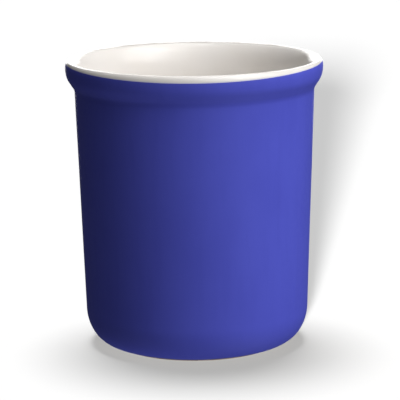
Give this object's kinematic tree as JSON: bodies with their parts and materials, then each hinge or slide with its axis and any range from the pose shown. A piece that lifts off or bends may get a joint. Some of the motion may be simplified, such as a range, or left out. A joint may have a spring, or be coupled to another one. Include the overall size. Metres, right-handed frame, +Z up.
{
  "type": "butter crock",
  "caption": "Open round stoneware crock with a flared collar, rounded lip, slightly tapered wall and bare foot ring; blue glaze outside, white glaze inside.",
  "frame": {"origin": "centre of the foot ring, on the plane that the crock stands on", "axes": "+Z up along the crock's axis of revolution; the crock is round, so +X and +Y are free and the usual view looks along +Y"},
  "size_m": [0.1336, 0.1336, 0.15],
  "materials": {
    "stoneware": "bare fired stoneware, fine grained and matt",
    "blue_glaze": "satin royal blue glaze",
    "white_glaze": "glossy warm white glaze"
  },
  "bodies": {
    "root": {"stoneware_body": "stoneware", "outer_blue_glaze": "blue_glaze", "inner_white_glaze": "white_glaze", "base_blue_glaze": "blue_glaze"}
  },
  "joints": []
}
